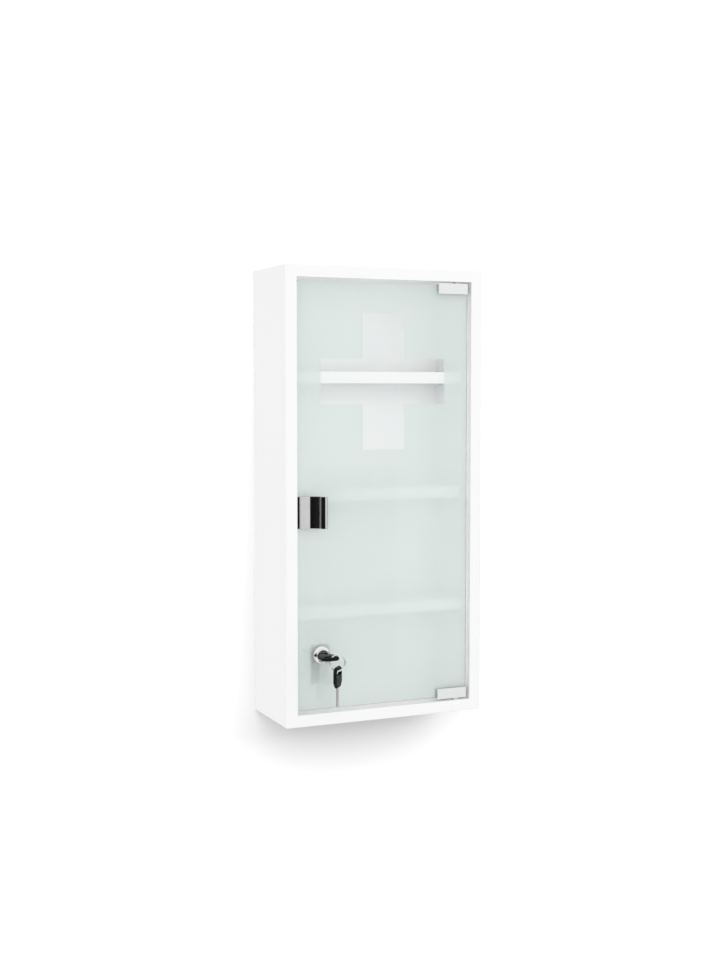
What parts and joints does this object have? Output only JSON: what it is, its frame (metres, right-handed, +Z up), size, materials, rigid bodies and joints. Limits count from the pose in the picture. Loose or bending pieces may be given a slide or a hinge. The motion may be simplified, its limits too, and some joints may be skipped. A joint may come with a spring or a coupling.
{
  "type": "medicine cabinet",
  "caption": "White wall-hung medicine cabinet with shelves, an inset frosted glass door bearing a clear cross, a clip-on chrome pull and a cam lock with keys on a ring.",
  "frame": {"origin": "on the rear plane, midway between the entry holes of the two keyhole hangers", "axes": "+Z up, +Y back to the wall, +X to the right when facing the door"},
  "size_m": [0.27, 0.1478, 0.57],
  "materials": {
    "lacquer": "satin white lacquer on fibreboard",
    "back_board": "white foil-faced hardboard",
    "clear_glass": "polished float glass, faint green",
    "frosting": "satin frosted layer",
    "chrome": "polished chrome plate",
    "zinc_steel": "zinc-plated steel",
    "key_nickel": "nickel-plated key blank",
    "black_plastic": "moulded black plastic",
    "white_plastic": "moulded white nylon",
    "soft_pad": "translucent soft pad",
    "ferrite": "dull grey ferrite"
  },
  "bodies": {
    "carcass": {"side_panel_left": "lacquer", "side_panel_right": "lacquer", "top_panel": "lacquer", "bottom_panel": "lacquer", "back_panel": "back_board", "shelf_upper": "lacquer", "shelf_middle": "lacquer", "shelf_lower": "lacquer", "shelf_pins": "chrome", "hanger_plate_left": "zinc_steel", "hanger_plate_right": "zinc_steel", "hinge_bush_upper": "white_plastic", "hinge_bush_lower": "white_plastic", "catch_housing": "white_plastic", "catch_pole_plates": "zinc_steel", "catch_magnet": "ferrite"},
    "door": {"door_glass": "clear_glass", "frosted_film": "frosting", "hinge_clip_upper": "chrome", "hinge_clip_lower": "chrome", "hinge_clip_pads": "soft_pad", "handle_pull": "chrome", "handle_pads": "soft_pad", "catch_strike_plate": "zinc_steel", "lock_housing": "chrome", "lock_gaskets": "soft_pad", "lock_nut": "zinc_steel"},
    "lock": {"lock_plug": "chrome", "lock_cam": "zinc_steel", "cam_screw": "zinc_steel", "key_blade": "key_nickel", "key_bow": "black_plastic"},
    "ring": {"key_ring": "chrome"},
    "spare_key": {"spare_key_blade": "key_nickel", "spare_key_bow": "black_plastic"}
  },
  "joints": [
    {"name": "door_hinge", "type": "hinge", "parent": "carcass", "child": "door", "pos_m": [0.1025, -0.107, -0.235], "axis": [0, 0, 1], "range_deg": [0, 130]},
    {"name": "lock_turn", "type": "hinge", "parent": "door", "child": "lock", "pos_m": [-0.0865, -0.109, -0.432], "axis": [0, 1, 0], "range_deg": [0, 90]},
    {"name": "ring_hang", "type": "hinge", "parent": "lock", "child": "ring", "pos_m": [-0.0766, -0.1383, -0.432], "axis": [0, 1, 0], "range_deg": [-90, 0]},
    {"name": "spare_key_swing", "type": "hinge", "parent": "ring", "child": "spare_key", "pos_m": [-0.0766, -0.1383, -0.44823], "axis": [1, 0, 0], "range_deg": [-60, 30]}
  ],
  "couplings": [
    {"joint": "ring_hang", "follows": "lock_turn", "ratio": -1}
  ]
}
